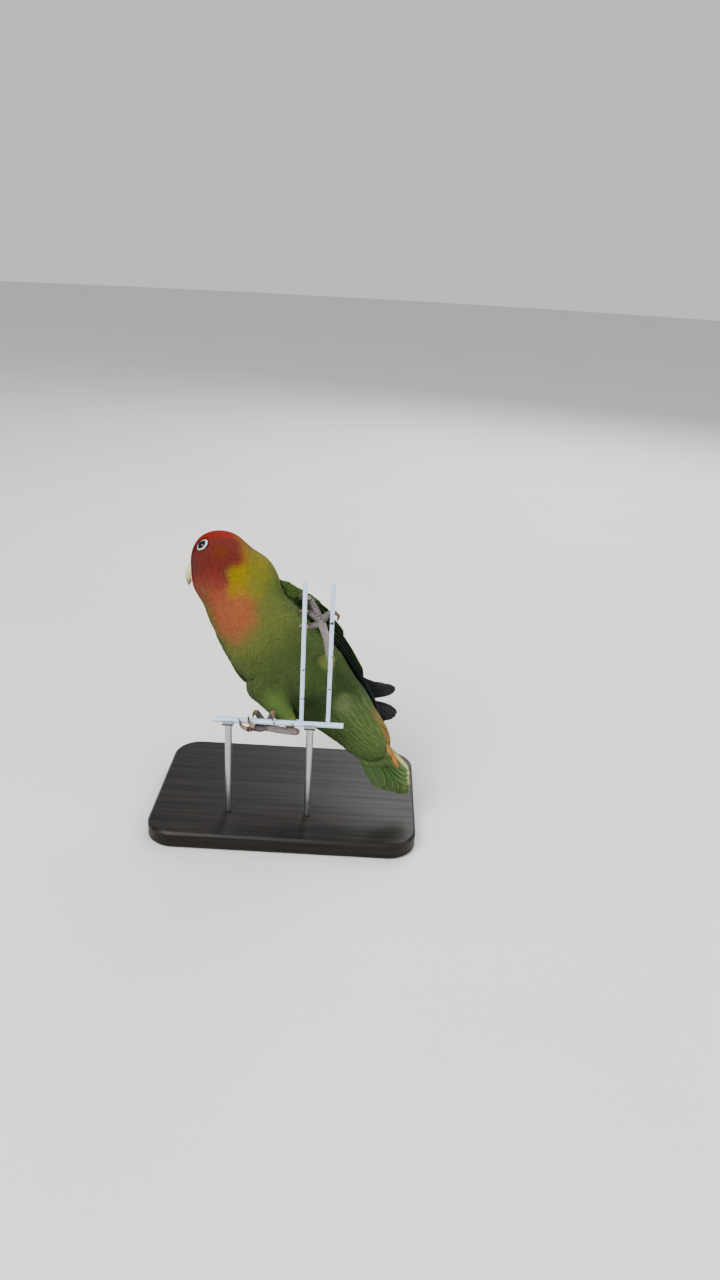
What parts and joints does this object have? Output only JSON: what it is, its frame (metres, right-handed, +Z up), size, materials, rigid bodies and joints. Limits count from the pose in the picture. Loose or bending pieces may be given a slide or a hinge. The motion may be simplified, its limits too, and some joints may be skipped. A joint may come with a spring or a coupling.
{
  "type": "peach faced lovebird",
  "caption": "Life-size still model of a small short-tailed parrot climbing on a short cut length of white cage wire, held up by a flat base with short rods.",
  "frame": {"origin": "middle of the underside of the stand's base", "axes": "+Z up; -Y to the side that the bird's belly and the perch face; -X to the bird's head, +X to its tail"},
  "size_m": [0.124, 0.086, 0.1312],
  "materials": {
    "face_feathers": "soft, matte small feathers, orange-red to rose",
    "body_feathers": "soft, matte small feathers, olive to leaf green",
    "wing_feathers": "closed satin vanes, dark green with blackish primaries",
    "tail_feathers": "closed satin vanes, green with an orange and a dark band",
    "bill": "smooth horn, satin",
    "eye": "wet gloss",
    "foot_skin": "dry scutes, satin",
    "claw": "smooth horn, satin",
    "cage_wire": "white enamel with a few rusty chips",
    "stand_rod": "brushed",
    "stand_base": "black satin stain"
  },
  "bodies": {
    "root": {"head": "face_feathers", "neck": "face_feathers", "torso": "body_feathers", "tail": "tail_feathers", "maxilla": "bill", "mandible": "bill", "eye_left": "eye", "eye_right": "eye", "wing_left": "wing_feathers", "wing_right": "wing_feathers", "thigh_left": "body_feathers", "thigh_right": "body_feathers", "foot_left": "foot_skin", "foot_right": "foot_skin", "claw_left_1": "claw", "claw_left_2": "claw", "claw_left_3": "claw", "claw_left_4": "claw", "claw_right_1": "claw", "claw_right_2": "claw", "claw_right_3": "claw", "claw_right_4": "claw", "perch_wire": "cage_wire", "stand_rod_1": "stand_rod", "stand_rod_2": "stand_rod", "stand_base": "stand_base"}
  },
  "joints": []
}
